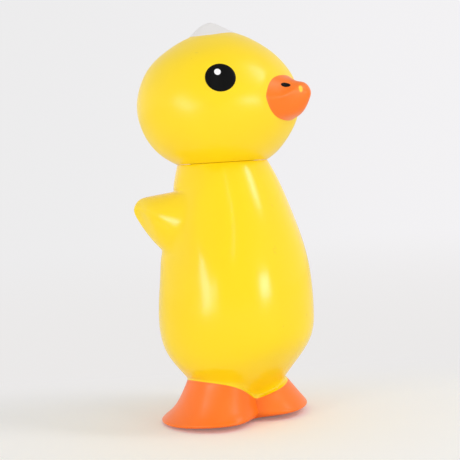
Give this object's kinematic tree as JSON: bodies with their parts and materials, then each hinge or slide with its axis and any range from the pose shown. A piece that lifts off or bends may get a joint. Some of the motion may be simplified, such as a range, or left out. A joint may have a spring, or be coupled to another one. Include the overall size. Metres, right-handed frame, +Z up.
{
  "type": "vinyl chick figurine",
  "caption": "Hollow soft-vinyl chick standing on its webbed feet, with stub wings, a beak, a crown tuft and a head that turns on a plug in the neck.",
  "frame": {"origin": "on the floor under the neck's axis, at the flat of the soles", "axes": "+Z up along the neck's axis, -Y the way the body faces, +X the figure's own left"},
  "size_m": [0.0834, 0.0865, 0.2009],
  "materials": {
    "body_vinyl": "glossy yellow soft vinyl, with the feet painted orange",
    "head_vinyl": "satin yellow soft vinyl, with an orange beak, a white tuft and black eyes and nostrils painted on"
  },
  "bodies": {
    "body": {"body": "body_vinyl"},
    "head": {"head": "head_vinyl"}
  },
  "joints": [
    {"name": "neck_swivel", "type": "hinge", "parent": "body", "child": "head", "pos_m": [0, 0, 0.1306], "axis": [0, 0, 1], "continuous": true}
  ]
}
